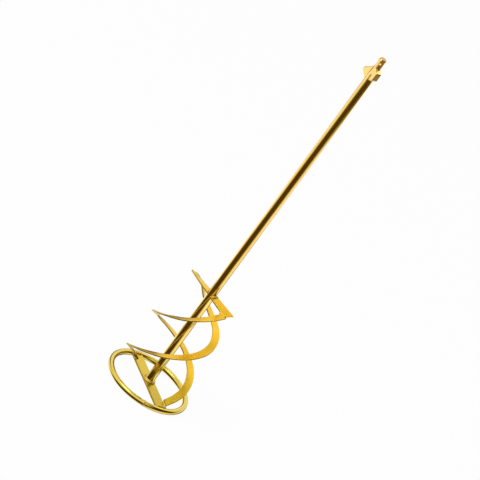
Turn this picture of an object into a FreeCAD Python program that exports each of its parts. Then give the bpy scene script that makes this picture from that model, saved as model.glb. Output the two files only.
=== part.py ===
import FreeCAD, Part
import math
import os
import Sketcher
from FreeCAD import Placement, Vector

# Spiral mixing paddle. A round rod carries a grooved drive shank and a two-eared stop collar
# at its top. Its foot stands on a flat bar across a ring, and two helical blades wind from
# that bar up to two twisted arms on the rod. The paddle stands on its ring: +Z runs up the
# rod, and z = 0 is the floor under the ring.

doc = FreeCAD.newDocument("SpiralMixingPaddle")
sheet = doc.addObject("Spreadsheet::Sheet", "Sizes")

# Millimetres and degrees. Angles run anticlockwise from +X, seen from above. A share is a
# part of the rise from the foot of a blade to its head.
sizes = [
    ("overallLength", 590, "floor to the tip of the shank"),
    ("ringDiameter", 120, "outside of the foot ring"),
    ("ringBar", 8, "round bar of the ring"),
    ("seamAngle", -78, "butt weld of the ring"),
    ("seamLength", 3, "that weld, along the ring"),
    ("seamHeight", 0.6, "its bead above the bar"),
    ("crossbarWidth", 16, "flat bar across the ring"),
    ("crossbarThickness", 3, "of the same bar"),
    ("crossbarRise", 1.7, "its middle above the middle of the ring"),
    ("crossbarAngle", -51, "direction of its first end"),
    ("rodDiameter", 12, "round bar of the rod"),
    ("armHeight", 162, "floor to the middle of the arms"),
    ("armAngle", -32, "direction of the first arm"),
    ("armWidth", 12, "flat bar of the arms"),
    ("armThickness", 2.5, "of the same bar"),
    ("armReach", 41.2, "axis of the rod to the middle of an arm's end"),
    ("armSlant", 4.8, "upper edge of an arm longer than its lower edge"),
    ("armRootTilt", 5, "slope of an arm's width at the rod"),
    ("armEndTilt", 28, "the same at its end"),
    ("bladeWidth", 10.5, "flat strip of the blades"),
    ("bladeThickness", 2, "of the same strip"),
    ("bladeHeadOverlap", 3.5, "degrees that a blade's head runs past the arm's edge"),
    ("bladeHeadInset", 8, "head of a blade inside the blade's own radius"),
    ("firstBladeGap", 1.6, "first blade's outer edge to the inside of the ring"),
    ("firstBladeShift", -0.5, "its axis from the rod's, along X"),
    ("firstBladeFoot", 3.2, "its foot below the top of the crossbar"),
    ("firstBladeHead", 0, "its head below the arm's edge"),
    ("firstBladeShareA", 0.954, "rise at 0.08 of its turn, from the head"),
    ("firstBladeShareB", 0.878, "rise at 0.14"),
    ("firstBladeShareC", 0.723, "rise at 0.26"),
    ("firstBladeShareD", 0.445, "rise at 0.5"),
    ("firstBladeShareE", 0.246, "rise at 0.745"),
    ("secondBladeGap", 3.4, "as the first blade's"),
    ("secondBladeShift", -3.6, "as the first blade's"),
    ("secondBladeFoot", 0.1, "as the first blade's"),
    ("secondBladeHead", -1.5, "as the first blade's, here above it"),
    ("secondBladeShareA", 0.915, "as the first blade's"),
    ("secondBladeShareB", 0.8, "as the first blade's"),
    ("secondBladeShareC", 0.686, "as the first blade's"),
    ("secondBladeShareD", 0.528, "as the first blade's"),
    ("secondBladeShareE", 0.291, "as the first blade's"),
    ("shankDiameter", 10, "round shank"),
    ("shankChamfer", 1.2, "at its tip"),
    ("collarAngle", -50, "direction of the first ear of the stop collar"),
    ("collarThickness", 8.5, "across an ear"),
    ("coneTop", 16, "tip of the shank to the end of its plain round"),
    ("coneFoot", 26, "tip to the start of the rod's own round"),
    ("firstEarReach", 10.8, "axis of the rod to the end of the short ear"),
    ("firstEarTop", 16.5, "tip to the start of that ear at the shank"),
    ("firstEarShoulder", 18, "tip to its upper corner"),
    ("firstEarEdge", 30, "tip to its lower corner"),
    ("firstEarNeck", 34.5, "tip to its end on the rod"),
    ("secondEarReach", 18.5, "as the short ear's, for the long one"),
    ("secondEarTop", 16.5, "as the short ear's"),
    ("secondEarShoulder", 31, "as the short ear's"),
    ("secondEarEdge", 36, "as the short ear's"),
    ("secondEarNeck", 39, "as the short ear's"),
    ("detentAngle", 50, "closed groove of the shank, from the first ear"),
    ("detentRadius", 1.5, "of the ball that it holds"),
    ("detentLength", 9, "overall"),
    ("detentDepth", 1.3, "below the round of the shank"),
    ("detentTip", 5, "tip of the shank to the groove"),
    ("keyWidth", 2.6, "open groove of the shank"),
    ("keyDepth", 1.6, "below the round of the shank"),
    ("keyLength", 8, "from the tip"),
    ("footWeldHeight", 3.6, "bead round the foot of the rod"),
    ("footWeldWidth", 3, "the same, out from the rod"),
    ("beadRadius", 2, "of the other beads"),
]
for row, (alias, value, note) in enumerate(sizes, start=1):
    sheet.set(f"A{row}", note)
    sheet.set(f"B{row}", str(value))
    sheet.setAlias(f"B{row}", alias)
doc.recompute()


def size(alias):
    return float(getattr(sheet, alias))


def bound(kind, name, **expressions):
    """A document object whose properties follow the sheet."""
    item = doc.addObject(kind, name)
    for key, text in expressions.items():
        item.setExpression(key.replace("__", "."), text)
    return item


def turned(item, angle):
    """Turn an object about the rod's axis by an expression in degrees."""
    item.Placement.Rotation.Axis = Vector(0, 0, 1)
    item.setExpression("Placement.Rotation.Angle", angle)
    return item


def cut_from(name, base, tools):
    """Cut each tool in turn from the base."""
    for count, tool in enumerate(tools, start=1):
        cut = doc.addObject("Part::Cut", f"{name}Cut{count}")
        cut.Base = base
        cut.Tool = tool
        base = cut
    return base


sub_parts = []


def sub_part(item, label):
    item.Label = label
    sub_parts.append(item)
    return item


def polar(radius, degrees, height):
    angle = math.radians(degrees)
    return Vector(radius * math.cos(angle), radius * math.sin(angle), height)


# Foot ring: round bar bent to a circle, with the bead of its butt weld. The bead is a short
# length of a thicker bar, raised so that it stays off the floor.
ring = sub_part(bound(
    "Part::Torus", "Ring",
    Radius1="(Sizes.ringDiameter - Sizes.ringBar) / 2",
    Radius2="Sizes.ringBar / 2",
    Placement__Base__z="Sizes.ringBar / 2"), "bottom_ring")
seam_blank = turned(bound(
    "Part::Torus", "SeamBlank",
    Radius1="(Sizes.ringDiameter - Sizes.ringBar) / 2",
    Radius2="Sizes.ringBar / 2 + Sizes.seamHeight",
    Angle3="Sizes.seamLength / Sizes.ringDiameter * 360 deg / pi * 2",
    Placement__Base__z="Sizes.ringBar / 2 + 1.5 * Sizes.seamHeight"), "Sizes.seamAngle * 1 deg")
sub_part(cut_from("Seam", seam_blank, [ring]), "ring_seam_weld")

# Crossbar: flat bar inside the ring, each end notched to the round bar that it meets.
crossbar_top = "Sizes.ringBar / 2 + Sizes.crossbarRise + Sizes.crossbarThickness / 2"
crossbar_length = "Sizes.ringDiameter - 1.5 * Sizes.ringBar"
crossbar_turn = "Sizes.crossbarAngle * 1 deg"
bar = turned(bound(
    "Part::Box", "CrossbarBlank",
    Length=crossbar_length,
    Width="Sizes.crossbarWidth",
    Height="Sizes.crossbarThickness",
    Placement__Base__z=f"{crossbar_top} - Sizes.crossbarThickness"), crossbar_turn)
for axis, over_length, over_width in (
        ("x", f"-cos({crossbar_turn})", f"sin({crossbar_turn})"),
        ("y", f"-sin({crossbar_turn})", f"-cos({crossbar_turn})")):
    bar.setExpression(f"Placement.Base.{axis}",
                      f"({crossbar_length}) / 2 * {over_length} + Sizes.crossbarWidth / 2 * {over_width}")
crossbar = sub_part(cut_from("Crossbar", bar, [ring]), "bottom_crossbar")

# Rod, forged with its shank. A half section is turned about the axis, the two ears are a
# flat outline through it, and the grooves are cut into the shank.
rod_body = turned(doc.addObject("PartDesign::Body", "RodForging"), "Sizes.collarAngle * 1 deg")


def origin_plane(body, role):
    return next(item for item in body.Origin.OriginFeatures if item.Role == role)


def outline(body, name, corners):
    """A closed outline on the body's XZ plane, each corner placed by two expressions."""
    sketch = body.newObject("Sketcher::SketchObject", name)
    sketch.AttachmentSupport = [(origin_plane(body, "XZ_Plane"), "")]
    sketch.MapMode = "FlatFace"
    places = [Vector(sheet.evalExpression(out), sheet.evalExpression(up), 0)
              for out, up in corners]
    for start, end in zip(places, places[1:] + places[:1]):
        sketch.addGeometry(Part.LineSegment(start, end))
    for index, (out, up) in enumerate(corners):
        following = (index + 1) % len(corners)
        sketch.addConstraint(Sketcher.Constraint("Coincident", index, 2, following, 1))
        for kind, text, value in (("DistanceX", out, places[index].x),
                                  ("DistanceY", up, places[index].y)):
            number = sketch.addConstraint(Sketcher.Constraint(kind, -1, 1, index, 1, value))
            sketch.renameConstraint(number, f"{kind}{index}")
            sketch.setExpression(f"Constraints.{kind}{index}", text)
    return sketch


def below_tip(alias):
    return f"Sizes.overallLength - Sizes.{alias}"


half_section = outline(rod_body, "HalfSection", [
    ("0", crossbar_top),
    ("Sizes.rodDiameter / 2", crossbar_top),
    ("Sizes.rodDiameter / 2", below_tip("coneFoot")),
    ("Sizes.shankDiameter / 2", below_tip("coneTop")),
    ("Sizes.shankDiameter / 2", below_tip("shankChamfer")),
    ("Sizes.shankDiameter / 2 - Sizes.shankChamfer", "Sizes.overallLength"),
    ("0", "Sizes.overallLength")])
turning = rod_body.newObject("PartDesign::Revolution", "Turning")
turning.Profile = half_section
turning.ReferenceAxis = (half_section, ["V_Axis"])
turning.Angle = 360

# Both ears in one outline: from the shank out to the upper corner, down the edge, in to the rod.


def ear_side(which, sign):
    return [(f"{sign} * {out}", below_tip(f"{which}Ear{corner}")) for corner, out in (
        ("Top", "Sizes.shankDiameter * 0.4"),
        ("Shoulder", f"Sizes.{which}EarReach"),
        ("Edge", f"Sizes.{which}EarReach"),
        ("Neck", "Sizes.rodDiameter * 0.4"))]


ears = outline(rod_body, "Ears", ear_side("first", 1) + ear_side("second", -1)[::-1])
ear_pad = rod_body.newObject("PartDesign::Pad", "EarPad")
ear_pad.Profile = ears
ear_pad.SideType = "Symmetric"
ear_pad.setExpression("Length", "Sizes.collarThickness")
rod_body.Tip = ear_pad
doc.recompute()

# Shank grooves: two closed ones for the chuck's balls, and two open ones that drive it.
grooves = []
for side in (0, 180):
    detent_turn = f"(Sizes.collarAngle + Sizes.detentAngle + {side}) * 1 deg"
    detent_axis = "(Sizes.shankDiameter / 2 + Sizes.detentRadius - Sizes.detentDepth)"
    ends = {
        "Lower": below_tip("detentTip - Sizes.detentLength + Sizes.detentRadius"),
        "Upper": below_tip("detentTip - Sizes.detentRadius")}
    pieces = [bound("Part::Sphere", f"Detent{end}{side}", Radius="Sizes.detentRadius",
                    Placement__Base__z=height) for end, height in ends.items()]
    pieces.append(bound(
        "Part::Cylinder", f"DetentGroove{side}", Radius="Sizes.detentRadius",
        Height="Sizes.detentLength - 2 * Sizes.detentRadius",
        Placement__Base__z=ends["Lower"]))
    for piece in pieces:
        piece.setExpression("Placement.Base.x", f"{detent_axis} * cos({detent_turn})")
        piece.setExpression("Placement.Base.y", f"{detent_axis} * sin({detent_turn})")
    key_turn = f"(Sizes.collarAngle + Sizes.detentAngle + 90 + {side}) * 1 deg"
    key_floor = "(Sizes.shankDiameter / 2 - Sizes.keyDepth)"
    key = turned(bound(
        "Part::Box", f"KeyGroove{side}", Length="Sizes.keyDepth * 2", Width="Sizes.keyWidth",
        Height="Sizes.keyLength * 2", Placement__Base__z=below_tip("keyLength")), key_turn)
    key.setExpression("Placement.Base.x",
                      f"{key_floor} * cos({key_turn}) + Sizes.keyWidth / 2 * sin({key_turn})")
    key.setExpression("Placement.Base.y",
                      f"{key_floor} * sin({key_turn}) - Sizes.keyWidth / 2 * cos({key_turn})")
    grooves += pieces + [key]
doc.recompute()
rod = sub_part(cut_from("Rod", rod_body, grooves), "drive_rod")
doc.recompute()


def strip_solid(corners_at, stations):
    """A solid strip through the four corners that corners_at gives at each station."""
    sections = [corners_at(station) for station in stations]
    edges = []
    for corner in range(4):
        curve = Part.BSplineCurve()
        curve.interpolate([section[corner] for section in sections])
        edges.append(curve.toShape())
    faces = [Part.makeRuledSurface(edges[index], edges[(index + 1) % 4]) for index in range(4)]
    for section in (sections[0], sections[-1]):
        faces.append(Part.Face(Part.makePolygon(section + section[:1])))
    shell = Part.makeShell(faces)
    shell.sewShape()
    solid = Part.makeSolid(shell)
    solid.fix(0.001, 0.001, 0.001)
    return solid


def shaped(label, shape):
    """A sub-part whose shape is set here from the sheet, the largest piece of what is left."""
    item = doc.addObject("Part::Feature", label.title().replace("_", ""))
    item.Shape = max(shape.Solids, key=lambda solid: solid.Volume)
    item.Placement = Placement()
    return sub_part(item, label)


def even(count):
    return [index / (count - 1) for index in range(count)]


# Upper arms: flat bar from the rod, twisted so that its leading edge drops towards the end.
arm_root = size("rodDiameter") / 4


def arm_frame(turn, along, tilt):
    """The middle of an arm, and the directions across its width and its thickness."""
    heading = math.radians(size("armAngle") + turn)
    tilt = math.radians(tilt)
    middle = Vector(along * math.cos(heading), along * math.sin(heading), size("armHeight"))
    leading = Vector(math.sin(heading), -math.cos(heading), 0)
    across = leading * math.cos(tilt) - Vector(0, 0, math.sin(tilt))
    normal = leading * math.sin(tilt) + Vector(0, 0, math.cos(tilt))
    return middle, across, normal


def arm_corner(turn, share, edge, face):
    """A corner of an arm's section: edge and face are 1 or -1, for leading and upper."""
    reach = size("armReach") - edge * size("armSlant") / 2
    tilt = size("armRootTilt") + (size("armEndTilt") - size("armRootTilt")) * share ** 1.5
    middle, across, normal = arm_frame(turn, arm_root + (reach - arm_root) * share, tilt)
    return middle + across * (edge * size("armWidth") / 2) + normal * (face * size("armThickness") / 2)


def upper_arm(turn):
    def corners_at(share):
        return [arm_corner(turn, share, edge, face)
                for edge, face in ((1, -1), (1, 1), (-1, 1), (-1, -1))]
    return strip_solid(corners_at, even(7)).cut(rod.Shape)


first_arm = shaped("upper_arm_first", upper_arm(0))
second_arm = shaped("upper_arm_second", upper_arm(180))

# Helical blades: flat strip, edge wound one turn from an arm's leading edge down to the
# crossbar. Each foot is trimmed by the bar and each head by its arm.
blade_stations = [0, 0.08, 0.14, 0.26, 0.5, 0.745, 1]
ring_inside = size("ringDiameter") / 2 - size("ringBar")
crossbar_top_height = float(sheet.evalExpression(crossbar_top))
arm_edge = (arm_corner(0, 1, 1, 1) + arm_corner(0, 1, 1, -1)) * 0.5
arm_edge_angle = math.degrees(math.atan2(arm_edge.y, arm_edge.x))


def blade(which, turn, arm):
    outer = ring_inside - size(f"{which}BladeGap")
    foot = crossbar_top_height - size(f"{which}BladeFoot")
    head = arm_edge.z - size(f"{which}BladeHead")
    shares = [1] + [size(f"{which}BladeShare{letter}") for letter in "ABCDE"] + [0]
    rise = Part.BSplineCurve()
    rise.interpolate(
        Points=[Vector(at, foot + (head - foot) * share, 0)
                for at, share in zip(blade_stations, shares)],
        Parameters=blade_stations)
    head_angle = turn + arm_edge_angle + size("bladeHeadOverlap")
    foot_angle = turn + size("crossbarAngle") - 360

    def height_at(share):
        return rise.value(share).y

    def corners_at(share):
        angle = head_angle + (foot_angle - head_angle) * share
        inset = size("bladeHeadInset") * max(0, 1 - share / blade_stations[3]) ** 3
        slope = height_at(max(0, share - 0.01)) - height_at(min(1, share + 0.01))
        run = math.radians(head_angle - foot_angle) * 0.02 * (outer - size("bladeWidth") / 2)
        half = size("bladeThickness") / 2 * math.hypot(1, slope / run)
        radii = (outer - inset, outer - inset - size("bladeWidth"))
        shift = Vector(size(f"{which}BladeShift"), 0, 0)
        return [shift + polar(radius, angle, height_at(share) + face * half)
                for radius, face in ((radii[0], -1), (radii[0], 1), (radii[1], 1), (radii[1], -1))]

    bar_block = Part.makeBox(
        size("ringDiameter"), size("crossbarWidth"), 2 * crossbar_top_height,
        Vector(-size("ringDiameter") / 2, -size("crossbarWidth") / 2, -crossbar_top_height))
    bar_block.rotate(Vector(), Vector(0, 0, 1), size("crossbarAngle"))
    strip = strip_solid(corners_at, even(37))
    return strip.cut(bar_block).cut(arm.Shape)


first_blade = shaped("helical_blade_first", blade("first", 0, first_arm))
second_blade = shaped("helical_blade_second", blade("second", 180, second_arm))

# Weld beads. Each is a round-ended run of metal along a joint, cut back by the pieces that it
# joins, and each pair of beads that sits a half turn apart is one group.
foot_cone = bound(
    "Part::Cone", "FootWeldBlank",
    Radius1="Sizes.rodDiameter / 2 + Sizes.footWeldWidth",
    Radius2="Sizes.rodDiameter / 2 + Sizes.footWeldWidth / 12",
    Height="Sizes.footWeldHeight",
    Placement__Base__z=crossbar_top)
sub_part(cut_from("FootWeld", foot_cone, [rod]), "rod_foot_weld")


def bead(start, end, joined):
    """One bead between two points, less the pieces that it joins."""
    radius = size("beadRadius")
    run = Part.makeCylinder(radius, (end - start).Length, start, end - start)
    run = run.fuse([Part.makeSphere(radius, start), Part.makeSphere(radius, end)]).removeSplitter()
    for item in joined:
        run = run.cut(item.Shape)
    return max(run.Solids, key=lambda solid: solid.Volume)


def side_points(turn, along, reach, height):
    """Two points at equal distances to each side of a line that points a given way."""
    middle = polar(along, turn, height)
    side = polar(reach, turn + 90, 0)
    return middle - side, middle + side


def arm_root_bead(which, turn, arm, strip):
    top = size("armHeight") + (size("armThickness") + size("beadRadius") / 4) / 2
    start, end = side_points(
        size("armAngle") + turn, size("rodDiameter") / 2 + size("beadRadius") / 4,
        size("armWidth") * 0.32, top)
    return bead(start, end, [rod, arm])


def blade_head_bead(which, turn, arm, strip):
    below = Vector(0, 0, size("beadRadius") * 0.3)
    start, end = [(arm_corner(turn, share, 1, 1) + arm_corner(turn, share, 1, -1)) * 0.5 - below
                  for share in (0.8, 0.96)]
    return bead(start, end, [arm, strip])


def blade_foot_bead(which, turn, arm, strip):
    forward = polar(1, size("crossbarAngle") + turn, 0)
    edge = polar(size("crossbarWidth") / 2, size("crossbarAngle") + turn + 90,
                 crossbar_top_height - size("beadRadius") / 8)
    middle = ring_inside - size(f"{which}BladeGap") - size("bladeWidth") / 2
    start, end = [edge + forward * (middle + reach * size("bladeWidth"))
                  for reach in (-0.36, 0.3)]
    return bead(start, end, [crossbar, strip])


def crossbar_bead(which, turn, arm, strip):
    start, end = side_points(
        size("crossbarAngle") + turn, ring_inside + size("beadRadius") / 4,
        size("crossbarWidth") * 0.36, crossbar_top_height + size("beadRadius") / 8)
    return bead(start, end, [crossbar, ring, strip])


sides = (("first", 0, first_arm, first_blade), ("second", 180, second_arm, second_blade))
for label, make in (("arm_root_welds", arm_root_bead),
                    ("blade_head_welds", blade_head_bead),
                    ("blade_foot_welds", blade_foot_bead),
                    ("crossbar_welds", crossbar_bead)):
    group = doc.addObject("Part::Feature", label.title().replace("_", ""))
    group.Shape = Part.makeCompound([make(*side) for side in sides])
    group.Placement = Placement()
    sub_part(group, label)

doc.recompute()
for item in doc.Objects:
    if "Invalid" in item.State or "Error" in item.State:
        raise RuntimeError(f"{item.Name} failed: {item.State}")
for item in sub_parts:
    if item.Shape.isNull() or not item.Shape.isValid():
        raise RuntimeError(f"{item.Label} has no valid shape")

os.makedirs("parts", exist_ok=True)
for item in sub_parts:
    item.Shape.exportStep(f"parts/{item.Label}.step")
    print(item.Label, len(item.Shape.Solids), round(item.Shape.Volume, 1))
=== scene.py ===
import math

import bpy
import numpy as np
from mathutils import Matrix, Vector


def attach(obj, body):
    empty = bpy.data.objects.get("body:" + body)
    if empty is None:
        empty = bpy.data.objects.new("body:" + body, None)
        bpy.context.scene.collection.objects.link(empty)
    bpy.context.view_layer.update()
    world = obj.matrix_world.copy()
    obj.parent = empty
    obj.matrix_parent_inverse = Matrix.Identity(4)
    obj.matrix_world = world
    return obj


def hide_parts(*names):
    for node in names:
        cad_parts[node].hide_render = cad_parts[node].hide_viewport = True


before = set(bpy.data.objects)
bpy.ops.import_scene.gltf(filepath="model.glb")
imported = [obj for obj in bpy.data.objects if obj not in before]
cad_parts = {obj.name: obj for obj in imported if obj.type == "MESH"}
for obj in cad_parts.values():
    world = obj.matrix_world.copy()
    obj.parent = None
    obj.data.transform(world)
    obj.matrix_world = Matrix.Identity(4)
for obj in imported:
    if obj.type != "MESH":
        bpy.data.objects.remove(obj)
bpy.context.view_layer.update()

print("frame loaded:", len(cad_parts), "nodes")

# Spiral mixing paddle in yellow zinc. Lengths in the settings of a piece are millimetres, which
# putSurface turns to metres, and headings are degrees anticlockwise from +X seen from above.

millimetre = 0.001
cornerTurn = np.linspace(0, np.pi / 2, 5)  # steps round a rounded edge


# Surfaces

def skin(grid, loop):
    # Quads between neighbouring rows of a grid, whose rows are closed rings of points. A grid
    # that isn't a loop gets a fan on each end. UV: share of the way round, metres along.
    rows, columns = grid.shape[:2]
    along = np.linalg.norm(np.diff(grid.mean(axis=1), axis=0), axis=1).cumsum()
    along = np.concatenate([[0], along, [along[-1] + along[0]]]) * millimetre
    here = np.arange(rows * columns).reshape(rows, columns)
    after = np.roll(here, -1, axis=0)
    if not loop:
        here, after = here[:-1], after[:-1]
    quads = np.stack([here, np.roll(here, -1, axis=1), np.roll(after, -1, axis=1), after], axis=-1)
    turn = np.arange(columns) / columns
    turns = np.stack([turn, turn + 1 / columns, turn + 1 / columns, turn], axis=-1)
    lengths = np.stack([along[:-1], along[:-1], along[1:], along[1:]], axis=-1)[:len(quads)]
    uv = np.stack(np.broadcast_arrays(turns[None], lengths[:, None]), axis=-1)
    points, quads, uv = grid.reshape(-1, 3), quads.reshape(-1, 4), uv.reshape(-1, 4, 2)
    fans, fanUv = np.empty((0, 3), int), np.empty((0, 3, 2))
    if not loop:
        first, last = here[0], after[-1]
        start, end = np.full(columns, len(points)), np.full(columns, len(points) + 1)
        points = np.concatenate([points, grid[0].mean(axis=0)[None], grid[-1].mean(axis=0)[None]])
        fans = np.concatenate([np.stack([start, np.roll(first, -1), first], axis=-1),
                               np.stack([end, last, np.roll(last, -1)], axis=-1)])
        middle = turn + 0.5 / columns
        caps = [np.stack([middle, turn + 1 / columns, turn], axis=-1),
                np.stack([middle, turn, turn + 1 / columns], axis=-1)]
        fanUv = np.concatenate([np.stack([cap, np.full_like(cap, length)], axis=-1)
                                for cap, length in zip(caps, (0, along[rows - 1]))])
    # The sum of the signed tetrahedra is the volume: if it is negative, every face is turned.
    corners = points[np.concatenate([quads[:, :3], quads[:, [0, 2, 3]], fans])]
    if np.einsum("ij,ij->", corners[:, 0], np.cross(corners[:, 1], corners[:, 2])) < 0:
        quads, uv, fans, fanUv = quads[:, ::-1], uv[:, ::-1], fans[:, ::-1], fanUv[:, ::-1]
    return points, quads, fans, uv, fanUv


def putSurface(name, grids, material, nodes, loop=False, sharpAngle=34):
    # One mesh from all the grids, smooth but for edges sharper than the angle. It rides on the
    # paddle's one body and stands for the nodes.
    points, faces, uvs, count = [], [], [], 0
    for grid in grids:
        newPoints, quads, fans, uv, fanUv = skin(grid, loop)
        points.append(newPoints * millimetre)
        faces += (quads + count).tolist() + (fans + count).tolist()
        uvs += [uv.reshape(-1, 2), fanUv.reshape(-1, 2)]
        count += len(newPoints)
    mesh = bpy.data.meshes.new(name)
    mesh.from_pydata(np.concatenate(points).tolist(), [], faces)
    layer = mesh.uv_layers.new(name="roundAndAlong")
    layer.data.foreach_set("uv", np.concatenate(uvs).astype(np.float32).ravel())
    mesh.shade_smooth()
    mesh.set_sharp_from_angle(angle=math.radians(sharpAngle))
    mesh.materials.append(material)
    piece = bpy.data.objects.new(name, mesh)
    bpy.context.scene.collection.objects.link(piece)
    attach(piece, "root")
    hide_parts(*nodes)


def barSection(look):
    # Rounded rectangle: half of its points run from the middle of one short side to the middle
    # of the other, and the rest are the same points turned half way round.
    width, thickness, corner = look["width"], look["thickness"], look["corner"]
    arc = corner * np.stack([np.cos(cornerTurn), np.sin(cornerTurn)], axis=-1)
    x, y = width / 2 - corner, thickness / 2 - corner
    across = np.linspace(x, -x, look["flatPoints"] + 2)[1:-1]
    half = np.concatenate([
        [[width / 2, 0]], [x, y] + arc,
        np.stack([across, np.full_like(across, thickness / 2)], axis=-1),
        [-x, y] + arc[::-1] * [-1, 1], [[-width / 2, 0]]])
    return np.concatenate([half, -half[1:-1]])


def polar(radius, degrees, height):
    # Points at a radius from the paddle's axis, a heading and a height.
    angle = np.radians(degrees)
    x, y = radius * np.cos(angle), radius * np.sin(angle)
    return np.stack(np.broadcast_arrays(x, y, height), axis=-1)


def splineThrough(stations, values, at):
    # Cubic spline through the stations, with its end slopes from cubics through four stations.
    x, y = np.array(stations), np.array(values)
    gap = np.diff(x)
    rise = np.diff(y) / gap
    system, right = np.eye(len(x)), np.zeros(len(x))
    right[0] = np.polyval(np.polyder(np.polyfit(x[:4], y[:4], 3)), x[0])
    right[-1] = np.polyval(np.polyder(np.polyfit(x[-4:], y[-4:], 3)), x[-1])
    inner = np.arange(1, len(x) - 1)
    system[inner, inner - 1], system[inner, inner + 1] = gap[1:], gap[:-1]
    system[inner, inner] = 2 * (gap[:-1] + gap[1:])
    right[1:-1] = 3 * (gap[1:] * rise[:-1] + gap[:-1] * rise[1:])
    slope = np.linalg.solve(system, right)
    step = np.clip(np.searchsorted(x, at) - 1, 0, len(x) - 2)
    part = (at - x[step]) / gap[step]
    bend = slope[step] * gap[step] - y[step + 1] + y[step]
    turnBack = y[step + 1] - y[step] - slope[step + 1] * gap[step]
    return ((1 - part) * y[step] + part * y[step + 1]
            + part * (1 - part) * ((1 - part) * bend + part * turnBack))


# Shader expressions

class Flow:
    # An output socket. Arithmetic on it adds Math nodes to its tree.
    def __init__(self, tree, socket=None):
        self.tree, self.socket = tree, socket

    def node(self, kind, settings=None, values=None, output=0):
        made = self.tree.nodes.new(kind)
        for key, value in (settings or {}).items():
            setattr(made, key, value)
        for key, value in (values or {}).items():
            if isinstance(value, Flow):
                self.tree.links.new(value.socket, made.inputs[key])
            else:
                made.inputs[key].default_value = value
        return Flow(self.tree, made.outputs[output]) if len(made.outputs) else None

    def maths(self, operation, *others, clamp=False):
        return self.node("ShaderNodeMath", {"operation": operation, "use_clamp": clamp},
                         dict(enumerate((self, *others))))

    def __add__(self, other):
        return self.maths("ADD", other)

    def __sub__(self, other):
        return self.maths("SUBTRACT", other)

    def __rsub__(self, other):
        return self.maths("MULTIPLY_ADD", -1, other)

    def __mul__(self, other):
        return self.maths("MULTIPLY", other)

    __radd__ = __add__
    __rmul__ = __mul__

    def limited(self, low, high):
        # 0 below low, 1 above high, a straight rise between.
        return (self - low).maths("DIVIDE", high - low, clamp=True)

    def axis(self, number):
        return self.node("ShaderNodeSeparateXYZ", values={0: self}, output=number)

    def blend(self, first, second):
        return self.node("ShaderNodeMix", {"data_type": "RGBA"},
                         {0: self, 6: asColour(first), 7: asColour(second)}, output=2)


def asColour(value):
    # A written colour gets its alpha, and a socket stays as it is.
    return value if isinstance(value, Flow) else (*value, 1)


def newMaterial(name):
    material = bpy.data.materials.new(name)
    material.use_nodes = True
    tree = material.node_tree
    tree.nodes.clear()
    return material, Flow(tree)


def objectPlace(start):
    return start.node("ShaderNodeTexCoord", output="Object")


def noise(place, scale, stretch, detail):
    # Scale is in lumps to the metre. A small last number of stretch draws them out along Z.
    stretched = place.node("ShaderNodeVectorMath", {"operation": "MULTIPLY"}, {0: place, 1: stretch})
    return place.node("ShaderNodeTexNoise", values={
        "Vector": stretched, "Scale": scale, "Detail": detail, "Roughness": 0.55})


def finishMetal(start, look, colour, roughness, relief):
    # Metal under a thin clear coat, with the relief as its bump.
    bump = start.node("ShaderNodeBump", values={
        "Strength": 1, "Distance": look["bumpDistance"], "Height": relief})
    shader = start.node("ShaderNodeBsdfPrincipled", values={
        "Base Color": colour, "Metallic": 1, "Roughness": roughness, "Normal": bump,
        "Coat Weight": look["coat"], "Coat Roughness": look["coatRoughness"], "Coat IOR": 1.5})
    start.node("ShaderNodeOutputMaterial", values={"Surface": shader})


# Finishes. Colours are scene linear and lengths are metres. A noise is given as its scale, its
# stretch and its detail, and its edges are where its mask starts and is full.

brightZinc = {
    "gold": (0.840, 0.610, 0.170), "amber": (0.740, 0.470, 0.085), "olive": (0.560, 0.450, 0.062),
    "forged": (0.900, 0.600, 0.200), "darkBrown": (0.330, 0.190, 0.040),
    "clouds": (26, (1, 1, 0.35), 4), "cloudEdges": (0.40, 0.66),
    "tint": (9, (1, 1, 0.5), 2), "tintEdges": (0.52, 0.72),
    "spots": (210, (1, 1, 0.6), 3), "spotEdges": (0.66, 0.74),
    "drawn": (900, (1, 1, 0.012), 2), "dents": (34, (1, 1, 0.22), 2), "pits": (520, (1, 1, 1), 2),
    "oliveHeight": (0.008, 0.120), "stainHeight": (0.012, 0.060), "forgedHeight": (0.552, 0.558),
    # endHeight and the share after it set the painted shade on the flat top of the shank's end.
    "endHeight": (0.5884, 0.5890), "lowOlive": 0.8, "tintOlive": 0.5,
    "thinStain": 0.25, "lowStain": 0.5, "endShadeShare": 0.7,
    "roughness": 0.10, "forgedRoughness": 0.22, "cloudRoughness": 0.10, "stainRoughness": 0.25,
    "drawnRelief": 0.10, "dentRelief": 0.9, "pitRelief": 0.04, "forgedPitRelief": 0.16,
    "coat": 0.25, "coatRoughness": 0.05, "bumpDistance": 0.00035}


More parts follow.
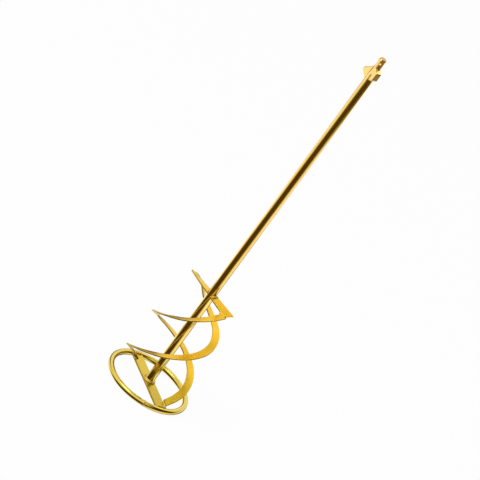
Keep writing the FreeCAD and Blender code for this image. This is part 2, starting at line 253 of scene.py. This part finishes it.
def makeBrightZinc(look):
    material, start = newMaterial("brightZinc")
    place = objectPlace(start)
    clouds = noise(place, *look["clouds"])
    tint = noise(place, *look["tint"])
    height = place.axis(2)
    colour = clouds.limited(*look["cloudEdges"]).blend(look["gold"], look["amber"])
    # Olive low down and in a few wide patches, and a paler head where the bar was forged.
    low = look["lowOlive"] * (1 - height.limited(*look["oliveHeight"]))
    olive = (tint.limited(*look["tintEdges"]) * look["tintOlive"]).maths("MAXIMUM", low)
    colour = olive.blend(colour, look["olive"])
    forged = height.limited(*look["forgedHeight"])
    colour = forged.blend(colour, look["forged"])
    # Small dark stains where the bath dried, thicker near the welds at the foot.
    spots = noise(place, *look["spots"])
    low = 1 - height.limited(*look["stainHeight"])
    darkBrown = spots.limited(*look["spotEdges"]) * (look["thinStain"] + look["lowStain"] * low)
    colour = darkBrown.blend(colour, look["darkBrown"])
    # Painted shade: the flat top at the shank's end is darkened towards brown.
    paintedEndShade = height.limited(*look["endHeight"]) * look["endShadeShare"]
    colour = paintedEndShade.blend(colour, look["darkBrown"])
    drawn = noise(place, *look["drawn"])
    dents = noise(place, *look["dents"])
    pits = noise(place, *look["pits"])
    rougher = forged * (look["forgedRoughness"] - look["roughness"])
    roughness = (look["roughness"] + look["cloudRoughness"] * clouds + rougher
                 + look["stainRoughness"] * darkBrown)
    relief = (drawn * look["drawnRelief"] + dents * look["dentRelief"]
              + pits * (look["pitRelief"] + look["forgedPitRelief"] * forged))
    finishMetal(start, look, colour, roughness, relief)
    return material


satinZinc = {
    "gold": (0.680, 0.405, 0.020), "pale": (0.750, 0.480, 0.038), "amber": (0.590, 0.325, 0.013),
    "lemon": (0.520, 0.395, 0.028), "edge": (0.400, 0.280, 0.014),
    "clouds": (42, (1, 1, 1), 4), "cloudEdges": (0.40, 0.68),
    "patches": (13, (1, 1, 1), 2), "patchEdges": (0.50, 0.70),
    "grain": (900, (1, 1, 1), 2), "rolled": (150, (1, 1, 1), 3), "stripEdges": (0.80, 0.97),
    "lemonHeight": (0.005, 0.050), "lemonSide": (-0.045, 0.005),
    "patchAmber": 0.6, "plainLemon": 0.45, "patchLemon": 0.8, "plainEdge": 0.35, "cloudEdge": 0.5,
    "roughness": 0.33, "cloudRoughness": 0.14, "edgeRoughness": 0.10,
    "grainRelief": 0.10, "rolledRelief": 0.35, "patchRelief": 0.9,
    "coat": 0.05, "coatRoughness": 0.2, "bumpDistance": 0.00030}


def makeSatinZinc(look):
    material, start = newMaterial("satinZinc")
    place = objectPlace(start)
    wayRound = start.node("ShaderNodeUVMap", {"uv_map": "roundAndAlong"}).axis(0)
    clouds = noise(place, *look["clouds"])
    patches = noise(place, *look["patches"])
    colour = clouds.limited(*look["cloudEdges"]).blend(look["gold"], look["pale"])
    amber = patches.limited(*look["patchEdges"]) * look["patchAmber"]
    colour = amber.blend(colour, look["amber"])
    # A greener yellow low down and towards -X.
    fromSide = 1 - place.axis(0).limited(*look["lemonSide"])
    lemon = (1 - place.axis(2).limited(*look["lemonHeight"])).maths("MAXIMUM", fromSide)
    lemon = lemon * (look["plainLemon"] + look["patchLemon"] * patches)
    colour = lemon.blend(colour, look["lemon"])
    # The narrow sides of the strip lie at the ends of its half turns, and are made darker.
    edge = (wayRound * (4 * math.pi)).maths("COSINE").limited(*look["stripEdges"])
    darker = edge * (look["plainEdge"] + look["cloudEdge"] * clouds)
    colour = darker.blend(colour, look["edge"])
    grain = noise(place, *look["grain"])
    rolled = noise(place, *look["rolled"])
    relief = (grain * look["grainRelief"] + rolled * look["rolledRelief"]
              + patches * look["patchRelief"])
    roughness = (look["roughness"] + look["cloudRoughness"] * (clouds - 0.5)
                 + look["edgeRoughness"] * edge)
    finishMetal(start, look, colour, roughness, relief)
    return material


weldZinc = {
    "gold": (0.700, 0.480, 0.070), "brown": (0.300, 0.170, 0.020), "pale": (0.640, 0.460, 0.110),
    "heat": (190, (1, 1, 1), 3), "heatEdges": (0.42, 0.62),
    "flecks": (640, (1, 1, 1), 3), "fleckEdges": (0.54, 0.66), "fleckBrown": 0.75,
    "roughness": 0.26, "fleckRoughness": 0.22, "fleckRelief": 0.55, "heatRelief": 0.9,
    "coat": 0.15, "coatRoughness": 0.12, "bumpDistance": 0.00035}


def makeWeldZinc(look):
    material, start = newMaterial("weldZinc")
    place = objectPlace(start)
    heat = noise(place, *look["heat"])
    flecks = noise(place, *look["flecks"])
    colour = heat.limited(*look["heatEdges"]).blend(look["gold"], look["pale"])
    brown = flecks.limited(*look["fleckEdges"]) * look["fleckBrown"]
    colour = brown.blend(colour, look["brown"])
    relief = flecks * look["fleckRelief"] + heat * look["heatRelief"]
    roughness = look["roughness"] + look["fleckRoughness"] * flecks
    finishMetal(start, look, colour, roughness, relief)
    return material


brightMaterial = makeBrightZinc(brightZinc)
satinMaterial = makeSatinZinc(satinZinc)
weldMaterial = makeWeldZinc(weldZinc)
# The CAD nodes take the finish of the first of these words in their names, or else the strip's.
nodeMaterials = {"weld": weldMaterial, "ring": brightMaterial, "rod": brightMaterial}
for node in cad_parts.values():
    node.data.materials.clear()
    kinds = [kind for kind in nodeMaterials if kind in node.name]
    node.data.materials.append(nodeMaterials[kinds[0]] if kinds else satinMaterial)
print("finishes made")


# Foot ring and crossbar

footRing = {
    "middle": 56, "bar": 4, "rows": 360, "columns": 40,
    "wobble": 0.10, "wobbles": 3, "thinning": 0.02, "thinnings": 7}


def ringGrid(look):
    # Torus: a circle of the bar's radius carried round the middle circle. Both radii waver a
    # little, always inward.
    turn = np.linspace(0, 360, look["rows"], endpoint=False)[:, None]
    section = np.linspace(0, 2 * np.pi, look["columns"], endpoint=False)[None]
    waver = look["wobble"] * (np.cos(np.radians(look["wobbles"] * turn)) - 1)
    bar = look["bar"] - look["thinning"] * (1 + np.sin(np.radians(look["thinnings"] * turn)))
    radius = look["middle"] + waver + bar * np.cos(section)
    return polar(radius, turn, look["bar"] + bar * np.sin(section))


seamWeld = {
    "angle": -78, "halfAngle": 1.7, "swell": 0.5, "ripple": 0.2, "sunk": 0.35, "flatter": 0.985,
    "rows": 22, "columns": 40}


def seamGrid(look, ring):
    # The same bar over a short stretch, swelling in an arch from inside the bar to a bead that
    # has three ripples and stays off the floor.
    share = np.linspace(0, 1, look["rows"])[:, None]
    section = np.linspace(0, 2 * np.pi, look["columns"], endpoint=False)[None]
    arch = np.sqrt(np.sin(np.pi * share))
    upper = 0.5 + 0.5 * np.sin(section)
    ripple = 1 - look["ripple"] + look["ripple"] * np.cos(6 * np.pi * share)
    bar = ring["bar"] - look["sunk"] + arch * (look["sunk"] + look["swell"] * upper * ripple)
    turn = look["angle"] + (2 * share - 1) * look["halfAngle"]
    radius = ring["middle"] + bar * np.cos(section) * look["flatter"]
    return polar(radius, turn, ring["bar"] + bar * np.sin(section))


crossbar = {
    "width": 16, "thickness": 3, "corner": 0.5, "height": 5.7, "angle": -51, "reach": 54,
    "rows": 72, "flatPoints": 14, "thinning": 0.006, "thinningLength": 9, "bow": 0.05,
    "bowLength": 14}


def crossbarGrid(look):
    # Rounded rectangle carried along a straight line. Its width and its height waver a little.
    along = np.linspace(-look["reach"], look["reach"], look["rows"])[:, None]
    section = barSection(look)
    sides = section[None, :, 0] * (1 - look["thinning"] * np.cos(along / look["thinningLength"]))
    sag = look["bow"] * (1 - np.cos(along / look["bowLength"]))
    heights = look["height"] + section[None, :, 1] - sag
    angle = np.radians(look["angle"])
    x = along * np.cos(angle) - sides * np.sin(angle)
    y = along * np.sin(angle) + sides * np.cos(angle)
    return np.stack(np.broadcast_arrays(x, y, heights), axis=-1)


putSurface("footRing", [ringGrid(footRing)], brightMaterial, ["bottom_ring"],
           loop=True)
putSurface("ringSeam", [seamGrid(seamWeld, footRing)], weldMaterial,
           ["ring_seam_weld"])
putSurface("crossbar", [crossbarGrid(crossbar)], satinMaterial,
           ["bottom_crossbar"])
print("ring and crossbar made")


# Rod, stop collar and shank

driveRod = {
    "foot": 7.2, "tip": 590, "radius": 6, "shankRadius": 5, "coneFoot": 564, "coneTop": 574,
    "chamfer": 1.2, "plainTop": 549, "plainRows": 110, "headRows": 132, "chamferRows": 5,
    "columns": 240}
collar = {
    "angle": -50, "thickness": 8.3, "inside": 3, "rounding": 0.8, "cornerPower": 13,
    "filletPower": 26,
    "shortEar": ((555, 3), (555.5, 4.8), (560, 10.7), (572, 10.7), (573.5, 4), (574, 3)),
    "longEar": ((550.5, 3), (551, 4.8), (554, 18.4), (559, 18.4), (573.5, 4), (574, 3))}
shankGrooves = {
    "ballTurn": 50, "ballRadius": 1.5, "ballAxis": 5.2, "ballLow": 577.5, "ballHigh": 583.5,
    "keyTurn": 140, "keyHalfWidth": 1.3, "keyFloor": 3.4, "keyFoot": 582, "keyRunOut": 1.6}


def earReach(heights, look, name):
    # Straight lines between the outline's corners, as pairs of height and reach, rounded by a
    # short weighted average. Above and below them the ear is sunk in the bar.
    corners = np.array(look[name])
    weights = np.hanning(9)[1:-1]
    spread = heights[:, None] + np.linspace(-look["rounding"], look["rounding"], len(weights))
    reach = np.interp(spread, corners[:, 0], corners[:, 1], left=look["inside"], right=look["inside"])
    return reach @ weights / weights.sum()


def rodGrid(look, ears, grooves):
    # Polar surface: at each height the radius is the smooth greater of the round core and a
    # rounded bar through it for the ears, less the grooves of the shank.
    shoulder, shankRadius = look["tip"] - look["chamfer"], look["shankRadius"]
    heights = np.concatenate([
        np.linspace(look["foot"], look["plainTop"], look["plainRows"]),
        np.linspace(look["plainTop"], shoulder, look["headRows"])[1:],
        np.linspace(shoulder, look["tip"], look["chamferRows"])[1:]])
    turn = np.linspace(0, 2 * np.pi, look["columns"], endpoint=False)[None]
    core = np.interp(
        heights, (look["coneFoot"], look["coneTop"], shoulder, look["tip"]),
        (look["radius"], shankRadius, shankRadius, shankRadius - look["chamfer"]))[:, None]
    short, long = [earReach(heights, ears, name)[:, None] for name in ("shortEar", "longEar")]
    reach = np.where(np.cos(turn) > 0, short, long)
    power = ears["cornerPower"]
    ear = ((np.abs(np.cos(turn)) / reach) ** power
           + (np.abs(np.sin(turn)) / (ears["thickness"] / 2)) ** power) ** (-1 / power)
    power = ears["filletPower"]
    joined = (core ** power + ear ** power) ** (1 / power)
    radius = np.where(reach > ears["inside"] + 0.01, joined, core)
    # Keys: a flat floor, open at the tip. Ball grooves: the near side of a circle beside the
    # axis, which shrinks as a sphere does at either end.
    fromKey = turn - math.radians(grooves["keyTurn"])
    fromBall = turn - math.radians(grooves["ballTurn"])
    key = np.where(np.abs(radius * np.sin(fromKey)) < grooves["keyHalfWidth"],
                   grooves["keyFloor"] / np.maximum(np.abs(np.cos(fromKey)), 0.1), radius)
    keyDepth = np.clip((heights[:, None] - grooves["keyFoot"]) / grooves["keyRunOut"], 0, 1) ** 0.5
    radius = radius + keyDepth * (np.minimum(key, radius) - radius)
    past = np.maximum(grooves["ballLow"] - heights, heights - grooves["ballHigh"]).clip(0)[:, None]
    ball = np.sqrt((grooves["ballRadius"] ** 2 - past ** 2).clip(0))
    inside = ball ** 2 - (grooves["ballAxis"] * np.sin(fromBall)) ** 2
    near = grooves["ballAxis"] * np.abs(np.cos(fromBall)) - np.sqrt(inside.clip(0))
    radius = np.where(inside > 0, np.minimum(radius, near), radius)
    return polar(radius, np.degrees(turn) + ears["angle"], heights[:, None])


putSurface("driveRod", [rodGrid(driveRod, collar, shankGrooves)], brightMaterial,
           ["drive_rod"], sharpAngle=40)
print("rod made")


# Upper arms

upperArm = {
    "height": 162, "angle": -32, "width": 12, "thickness": 2.5, "corner": 0.5, "root": 3,
    "reach": 41.2, "slant": 4.8, "rootTilt": 5, "endTilt": 28, "tiltPower": 1.5,
    "endShare": 0.015, "rows": 60, "flatPoints": 12}


def armPoint(look, turn, share, across, through):
    # Along the arm by share, across its width and through its thickness in a section that
    # tilts more towards the end. The end is cut at a slant.
    heading = math.radians(look["angle"] + turn)
    more = (look["endTilt"] - look["rootTilt"]) * share ** look["tiltPower"]
    tilt = np.radians(look["rootTilt"] + more)
    reach = look["reach"] - look["slant"] * across / look["width"]
    along = look["root"] + (reach - look["root"]) * share
    level = across * np.cos(tilt) + through * np.sin(tilt)
    return np.stack(np.broadcast_arrays(
        along * math.cos(heading) + level * math.sin(heading),
        along * math.sin(heading) - level * math.cos(heading),
        look["height"] - across * np.sin(tilt) + through * np.cos(tilt)), axis=-1)


def armGrid(look, heading):
    # Rounded rectangle along the arm. The last rows shrink it by the corner's radius, which
    # rounds the end.
    section = barSection(look)
    turn = cornerTurn[1:]
    straight = np.linspace(0, 1 - look["endShare"], look["rows"])
    rounded = 1 - look["endShare"] + look["endShare"] * np.sin(turn)
    share = np.concatenate([straight, rounded])[:, None]
    shrink = look["corner"] * np.concatenate([straight * 0, 1 - np.cos(turn)])[:, None]
    across = section[None, :, 0] * (1 - 2 * shrink / look["width"])
    through = section[None, :, 1] * (1 - 2 * shrink / look["thickness"])
    return armPoint(look, heading, share, across, through)


for order, turn in (("First", 0), ("Second", 180)):
    putSurface(f"upperArm{order}", [armGrid(upperArm, turn)], satinMaterial,
               [f"upper_arm_{order.lower()}"])
print("arms made")


# Helical blades

helix = {
    "ringInside": 52, "width": 10.5, "thickness": 2, "corner": 0.45, "footSunk": 0.4,
    "headOverlap": 3.5, "headInset": 8, "insetShare": 0.26, "rows": 300, "flatPoints": 10,
    "waver": 0.10, "waverRate": 61, "stations": (0, 0.08, 0.14, 0.26, 0.5, 0.745, 1),
    "First": {"turn": 0, "gap": 1.6, "shift": -0.5, "foot": 4.0, "headDrop": 0,
              "trimmed": True, "shares": (1, 0.954, 0.878, 0.723, 0.445, 0.246, 0)},
    "Second": {"turn": 180, "gap": 3.4, "shift": -3.6, "foot": 7.1, "headDrop": -1.5,
               "trimmed": False, "shares": (1, 0.915, 0.8, 0.686, 0.528, 0.291, 0)}}
armEdge = armPoint(upperArm, 0, 1, upperArm["width"] / 2, 0)


def bladeGrid(look, blade, bar):
    # Rounded rectangle carried down a helix whose height follows a spline over its turn. The
    # head draws in towards the arm. A trimmed foot ends in a plane just inside the crossbar's
    # side.
    section = barSection(look)
    outer = look["ringInside"] - blade["gap"]
    armAngle = math.degrees(math.atan2(armEdge[1], armEdge[0]))
    headAngle = blade["turn"] + armAngle + look["headOverlap"]
    footAngle = blade["turn"] + bar["angle"] - 360
    reach = outer - look["width"] / 2 + section[:, 0]
    side = (bar["width"] / 2 - look["footSunk"]
            + math.sin(math.radians(footAngle)) * blade["shift"])
    endAngle = footAngle + np.degrees(np.arcsin(side / reach)) * blade["trimmed"]
    endShare = (headAngle - endAngle) / (headAngle - footAngle)
    share = np.linspace(0, 1, look["rows"])[:, None] * endShare
    head = armEdge[2] - blade["headDrop"]
    heights = [blade["foot"] + (head - blade["foot"]) * part for part in blade["shares"]]

    def heightAt(share):
        return splineThrough(look["stations"], heights, share)

    # The strip's thickness is measured upwards, so it is drawn out by the slope of its middle.
    step = 0.01
    fall = heightAt(np.maximum(share - step, 0)) - heightAt(np.minimum(share + step, 1))
    run = math.radians(headAngle - footAngle) * 2 * step * (outer - look["width"] / 2)
    radius = reach - look["headInset"] * np.maximum(0, 1 - share / look["insetShare"]) ** 3
    waver = look["waver"] * np.sin(share * look["waverRate"] + blade["turn"])
    points = polar(radius - np.abs(waver), headAngle + (footAngle - headAngle) * share,
                   heightAt(share) + section[:, 1] * np.hypot(1, fall / run) + waver)
    return points + [blade["shift"], 0, 0]


for order in ("First", "Second"):
    putSurface(f"helicalBlade{order}", [bladeGrid(helix, helix[order], crossbar)], satinMaterial,
               [f"helical_blade_{order.lower()}"])
print("blades made")


# Weld beads

bead = {
    "radius": 2.0, "rows": 64, "columns": 28, "ripple": 0.09, "spacing": 1.1, "lag": 0.35,
    "runLean": 0.9, "endPower": 0.75, "tipShare": 0.04}


def beadGrid(look, start, end):
    # A round-ended run between two points. The rows' lean goes from end to end by half a turn,
    # and past runLean they close an end. The radius ripples in even steps along the run, and
    # each ripple lags towards the sides, as a pool of weld does when it sets.
    radius = look["radius"]
    start, end = np.array(start, float), np.array(end, float)
    length = np.linalg.norm(end - start)
    forward = (end - start) / length
    side = np.cross(forward, [0, 0, 1])
    side /= np.linalg.norm(side)
    up = np.cross(side, forward)
    lean = np.linspace(-np.pi / 2, np.pi / 2, look["rows"])[1:-1]
    pastEnd = (np.abs(lean) - look["runLean"]).clip(0) / (np.pi / 2 - look["runLean"])
    along = length / 2 * np.clip(lean / look["runLean"], -1, 1)
    along += radius * np.sign(lean) * pastEnd ** look["endPower"]
    full = np.sqrt(1 - ((np.abs(along) - length / 2).clip(0) / radius).clip(0, 1) ** 2)
    turn = np.linspace(0, 2 * np.pi, look["columns"], endpoint=False)[None]
    phase = 2 * np.pi * (along[:, None] + look["lag"] * np.cos(2 * turn)) / look["spacing"]
    ripple = 1 - look["ripple"] + look["ripple"] * np.cos(phase)
    width = radius * full[:, None].clip(look["tipShare"]) * ripple
    middle = (start + end) / 2
    return (middle + forward * along[:, None, None] + side * (width * np.cos(turn))[..., None]
            + up * (width * np.sin(turn))[..., None])


def acrossLine(heading, along, reach, height):
    # The ends of a level line across a heading.
    middle = polar(along, heading, height)
    side = polar(reach, heading + 90, 0)
    return middle - side, middle + side


# Where the beads lie. Arm root and bar end: how far from the rod's axis along the arm or bar,
# how far to each side, and how high. The others run between two shares of an arm's edge or of
# a blade's width.
beadPlaces = {
    "armRoot": (6.5, 3.84, 163.4), "barEnd": (52.5, 5.76, 7.4), "headShares": (0.8, 0.96),
    "headDrop": 0.6, "footShares": (-0.36, 0.3), "footHeight": 6.95}


def headWeld(turn):
    # Under an edge of an arm, where the head of its blade meets it.
    drop = [0, 0, beadPlaces["headDrop"]]
    start, end = [armPoint(upperArm, turn, share, upperArm["width"] / 2, 0) - drop
                  for share in beadPlaces["headShares"]]
    return beadGrid(bead, start, end)


def footWeld(blade):
    # Along the side of the crossbar, where the foot of a blade meets it.
    heading = crossbar["angle"] + blade["turn"]
    edge = polar(crossbar["width"] / 2, heading + 90, beadPlaces["footHeight"])
    middle = helix["ringInside"] - blade["gap"] - helix["width"] / 2
    start, end = [edge + polar(middle + share * helix["width"], heading, 0)
                  for share in beadPlaces["footShares"]]
    return beadGrid(bead, start, end)


halfTurns = (0, 180)
rootWelds = [beadGrid(bead, *acrossLine(upperArm["angle"] + turn, *beadPlaces["armRoot"]))
             for turn in halfTurns]
barWelds = [beadGrid(bead, *acrossLine(crossbar["angle"] + turn, *beadPlaces["barEnd"]))
            for turn in halfTurns]
headWelds = [headWeld(turn) for turn in halfTurns]
footWelds = [footWeld(helix[order]) for order in ("First", "Second")]

rodFootWeld = {
    "rodRadius": 6, "foot": 7.2, "height": 3.5, "width": 2.8, "sunk": 0.4, "fullness": 0.8,
    "ripple": 0.10, "ripples": 27, "slant": 2.4, "rows": 20, "columns": 216}


def footWeldGrid(look):
    # A fillet turned about the rod, its outline a quarter round made a little fuller, with
    # slanted ripples round it.
    share = np.linspace(0, 1, look["rows"])[:, None]
    turn = np.linspace(0, 360, look["columns"], endpoint=False)[None]
    ripple = 0.5 + 0.5 * np.cos(np.radians(look["ripples"] * turn) + look["slant"] * share)
    swell = 1 - look["ripple"] * ripple * np.sin(np.pi * share)
    sunk, lean = look["sunk"], share * np.pi / 2
    outline = np.cos(lean) ** look["fullness"]
    radius = look["rodRadius"] - sunk + (sunk + look["width"] * swell) * outline
    return polar(radius, turn, look["foot"] - sunk / 2 + (sunk / 2 + look["height"]) * np.sin(lean))


for name, grids, node in (
        ("armRootWelds", rootWelds, "arm_root_welds"),
        ("bladeHeadWelds", headWelds, "blade_head_welds"),
        ("bladeFootWelds", footWelds, "blade_foot_welds"),
        ("crossbarWelds", barWelds, "crossbar_welds"),
        ("rodFootWeld", [footWeldGrid(rodFootWeld)], "rod_foot_weld")):
    putSurface(name, grids, weldMaterial, [node], sharpAngle=60)
print("welds made")


# Floor, light and camera. Lengths are metres. A flag's middle is in degrees round from -Y
# towards +X. Its start counts from its middle, and the back flag's from the front one's.

studio = {
    "floorSize": 6, "floorTone": (0.90, 0.90, 0.90), "shadowShare": 0.05, "ambient": 0.62,
    "tentRadius": 1.0, "tentLow": -2.2, "tentHigh": 2.2, "tentSides": 96,
    "bright": (1.32, 1.29, 1.18), "dark": (0.085, 0.050, 0.015),
    "flagMiddle": 18, "flagSlope": 140, "flagStart": 46, "flagFade": 44, "flagFoot": -0.36,
    "flagTop": 0.30, "flagTopFade": 0.25, "backFlagStart": 145, "backFlagFade": 22,
    "sideFlagMiddle": 78, "sideFlagStart": 24, "sideFlagFade": 20, "sideFlagFoot": -0.13,
    "sideFlagRise": 0.10}
lamps = {
    "keyLamp": {"place": (-0.7, -0.5, 1.5), "target": (0, 0, 0.2), "size": 0.7, "power": 7},
    "backLamp": {"place": (0.6, 0.9, 1.3), "target": (0, 0, 0.1), "size": 0.9, "power": 1.4}}


def makeFloor(look):
    # A wide square. The camera sees it as plain white with a small share of its shading.
    half = look["floorSize"] / 2
    mesh = bpy.data.meshes.new("floor")
    corners = [(-half, -half, 0), (half, -half, 0), (half, half, 0), (-half, half, 0)]
    mesh.from_pydata(corners, [], [(0, 1, 2, 3)])
    material, start = newMaterial("floorWhite")
    seen = start.node("ShaderNodeLightPath", output="Is Camera Ray")
    shaded = start.node("ShaderNodeBsdfDiffuse", values={"Color": (*look["floorTone"], 1)})
    plain = start.node("ShaderNodeEmission", values={"Color": (1, 1, 1, 1), "Strength": 1})
    mixed = start.node("ShaderNodeMixShader", values={
        0: seen * (1 - look["shadowShare"]), 1: shaded, 2: plain})
    start.node("ShaderNodeOutputMaterial", values={"Surface": mixed})
    mesh.materials.append(material)
    floor = bpy.data.objects.new("floor", mesh)
    bpy.context.scene.collection.objects.link(floor)
    floor.visible_glossy = False
    return floor


def makeTent(look):
    # An open cylinder round the paddle that only reflections see: pale cloth with a wide dark
    # flag in front and a narrow one behind, whose middles lean round the tent with height.
    count = look["tentSides"]
    turn = np.linspace(0, 360, count, endpoint=False)[None]
    grid = polar(look["tentRadius"], turn, np.array([[look["tentLow"]], [look["tentHigh"]]]))
    here = np.arange(count)
    faces = np.stack([here, np.roll(here, -1), np.roll(here, -1) + count, here + count], axis=-1)
    mesh = bpy.data.meshes.new("lightTent")
    mesh.from_pydata(grid.reshape(-1, 3).tolist(), [], faces.tolist())
    material, start = newMaterial("tentCloth")
    place = objectPlace(start)

    def fading(value, first, width):
        return value.limited(look[first], look[first] + look[width])

    # Below its foot a flag hangs straight, which puts a dark line round the side of the ring.
    height = place.axis(2).maths("MAXIMUM", look["flagFoot"])
    azimuth = place.axis(0).maths("ARCTAN2", place.axis(1) * -1) * (180 / math.pi)
    # The 720 keeps the angle above 0, and the ping-pong folds it into 0 to 180 degrees.
    fromFlag = azimuth - height * look["flagSlope"] - look["flagMiddle"] + 720
    fromFlag = fromFlag.maths("PINGPONG", 180)
    inFlag = 1 - fading(fromFlag, "flagStart", "flagFade")
    inBackFlag = fading(fromFlag, "backFlagStart", "backFlagFade")
    inFlag = inFlag.maths("MAXIMUM", inBackFlag)
    inFlag = inFlag * (1 - fading(height, "flagTop", "flagTopFade"))
    # A third flag stands to the right of the collar.
    fromSide = (azimuth - look["sideFlagMiddle"]).maths("ABSOLUTE")
    inSide = 1 - fading(fromSide, "sideFlagStart", "sideFlagFade")
    inSide = inSide * fading(height, "sideFlagFoot", "sideFlagRise")
    inFlag = inFlag.maths("MAXIMUM", inSide)
    inFlag = start.node("ShaderNodeMapRange", {"interpolation_type": "SMOOTHSTEP"}, {0: inFlag})
    colour = inFlag.blend(look["bright"], look["dark"])
    glow = start.node("ShaderNodeEmission", values={"Color": colour, "Strength": 1})
    start.node("ShaderNodeOutputMaterial", values={"Surface": glow})
    mesh.materials.append(material)
    tent = bpy.data.objects.new("lightTent", mesh)
    bpy.context.scene.collection.objects.link(tent)
    for ray in ("camera", "diffuse", "transmission", "volume_scatter", "shadow"):
        setattr(tent, f"visible_{ray}", False)
    return tent


def makeWorld(look):
    # White to the camera and in gloss, and a plain grey that lights everything else.
    world = bpy.data.worlds.new("studioWorld")
    bpy.context.scene.world = world
    world.use_nodes = True
    world.node_tree.nodes.clear()
    start = Flow(world.node_tree)
    seen = start.node("ShaderNodeLightPath", output="Is Camera Ray")
    glossy = start.node("ShaderNodeLightPath", output="Is Glossy Ray")
    plain = seen.maths("MAXIMUM", glossy).blend((look["ambient"],) * 3, (1, 1, 1))
    background = start.node("ShaderNodeBackground", values={"Color": plain, "Strength": 1})
    start.node("ShaderNodeOutputWorld", values={"Surface": background})


def areaLamp(name, look):
    # A round lamp that faces its target.
    lamp = bpy.data.lights.new(name, "AREA")
    lamp.shape, lamp.size, lamp.energy = "DISK", look["size"], look["power"]
    holder = bpy.data.objects.new(name, lamp)
    holder.location = look["place"]
    facing = Vector(look["target"]) - Vector(look["place"])
    holder.rotation_mode = "QUATERNION"
    holder.rotation_quaternion = facing.to_track_quat("-Z", "Y")
    bpy.context.scene.collection.objects.link(holder)


makeFloor(studio)
makeTent(studio)
makeWorld(studio)
for name, look in lamps.items():
    areaLamp(name, look)

view = {
    "right": (0.8070, 0.2770, 0.5210), "up": (-0.5900, 0.3790, 0.7125),
    "back": (0.0, -0.8829, 0.4695), "through": (-0.01225, 0.1026, 0.1970), "distance": 2.4,
    "span": 0.6216, "clip": (0.05, 20)}


def makeCamera(look):
    # The picture is turned, so that the rod leans to the right in it.
    data = bpy.data.cameras.new("viewCamera")
    data.type, data.ortho_scale = "ORTHO", look["span"]
    data.clip_start, data.clip_end = look["clip"]
    camera = bpy.data.objects.new("viewCamera", data)
    axes = Matrix([look["right"], look["up"], look["back"]]).transposed()
    camera.rotation_mode = "QUATERNION"
    camera.rotation_quaternion = axes.to_quaternion()
    camera.location = Vector(look["through"]) + Vector(look["back"]) * look["distance"]
    bpy.context.scene.collection.objects.link(camera)
    bpy.context.scene.camera = camera


makeCamera(view)
bpy.context.scene.view_settings.view_transform = "Standard"
print("studio made")

bpy.context.view_layer.update()
